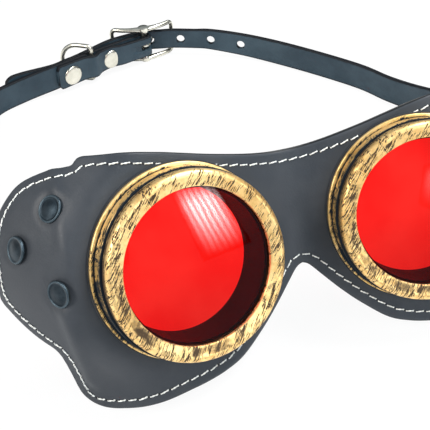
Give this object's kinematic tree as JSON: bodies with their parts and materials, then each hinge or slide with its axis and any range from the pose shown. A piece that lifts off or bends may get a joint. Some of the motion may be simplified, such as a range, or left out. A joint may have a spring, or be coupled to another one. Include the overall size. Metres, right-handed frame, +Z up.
{
  "type": "goggles",
  "caption": "Goggles with two brass screw-ring eye cups and red glass on a leather mask, closed by a leather strap with a centre-bar buckle and a D-ring.",
  "frame": {"origin": "on the ground, in the middle of the box round the goggles as they stand with the strap closed", "axes": "+X along the mask to the right of someone looking at its front, +Y from the lenses back to the buckle, +Z up"},
  "size_m": [0.2084, 0.2249, 0.0701],
  "materials": {
    "mask_leather": "smooth dull dark grey leather",
    "lining_leather": "flesh side, dark and matt",
    "strap_leather": "dark blue-grey leather with black edges",
    "cup_brass": "aged brass with dark patches and rubbed gold edges",
    "ring_brass": "brushed brass, worn",
    "red_glass": "clear red glass, polished",
    "black_rubber": "black, matt",
    "dark_steel": "blue-black gunmetal with bright edges",
    "nickel": "nickel plate, slightly worn"
  },
  "bodies": {
    "mask": {"mask_leather": "mask_leather", "mask_lining": "lining_leather", "cup_left": "cup_brass", "cup_right": "cup_brass", "base_washer_left": "black_rubber", "base_washer_right": "black_rubber", "clamp_ring_left": "ring_brass", "clamp_ring_right": "ring_brass", "lens_seal_left": "black_rubber", "lens_seal_right": "black_rubber", "wing_rivet_caps_left": "dark_steel", "wing_rivet_caps_right": "dark_steel", "wing_rivet_posts_left": "dark_steel", "wing_rivet_posts_right": "dark_steel", "strap_left": "strap_leather", "strap_right": "strap_leather", "strap_rivet_caps": "nickel", "strap_rivet_posts": "nickel"},
    "lens_carriage_left": {"lens_left": "red_glass"},
    "screw_ring_left": {"bezel_left": "ring_brass"},
    "lens_carriage_right": {"lens_right": "red_glass"},
    "screw_ring_right": {"bezel_right": "ring_brass"},
    "buckle": {"buckle_frame": "nickel"},
    "prong": {"buckle_prong": "nickel"},
    "d_ring": {"d_ring": "nickel"}
  },
  "joints": [
    {"name": "lens_left_advance", "type": "slide", "parent": "mask", "child": "lens_carriage_left", "axis": [0.1857, -0.851, 0.4913], "range_m": [0, 0.004]},
    {"name": "bezel_left_turn", "type": "hinge", "parent": "lens_carriage_left", "child": "screw_ring_left", "pos_m": [-0.0368, -0.09782, 0.04464], "axis": [0.1857, -0.851, 0.4913], "range_deg": [0, 900]},
    {"name": "lens_right_advance", "type": "slide", "parent": "mask", "child": "lens_carriage_right", "axis": [-0.1857, -0.851, 0.4913], "range_m": [0, 0.004]},
    {"name": "bezel_right_turn", "type": "hinge", "parent": "lens_carriage_right", "child": "screw_ring_right", "pos_m": [0.0368, -0.09782, 0.04464], "axis": [-0.1857, -0.851, 0.4913], "range_deg": [0, 900]},
    {"name": "buckle_swing", "type": "hinge", "parent": "mask", "child": "buckle", "pos_m": [-0.0046, 0.10458, 0.0097], "axis": [0, 0, 1], "range_deg": [-2, 2]},
    {"name": "prong_swing", "type": "hinge", "parent": "buckle", "child": "prong", "pos_m": [-0.0046, 0.10458, 0.0097], "axis": [0, 0, 1], "range_deg": [0, 3]},
    {"name": "d_ring_swing", "type": "hinge", "parent": "mask", "child": "d_ring", "pos_m": [-0.03422, 0.09289, 0.01005], "axis": [0, 0, -1], "range_deg": [0, 60]}
  ],
  "couplings": [
    {"joint": "lens_left_advance", "follows": "bezel_left_turn", "m_per_rad": 0.00025465},
    {"joint": "lens_right_advance", "follows": "bezel_right_turn", "m_per_rad": 0.00025465}
  ]
}
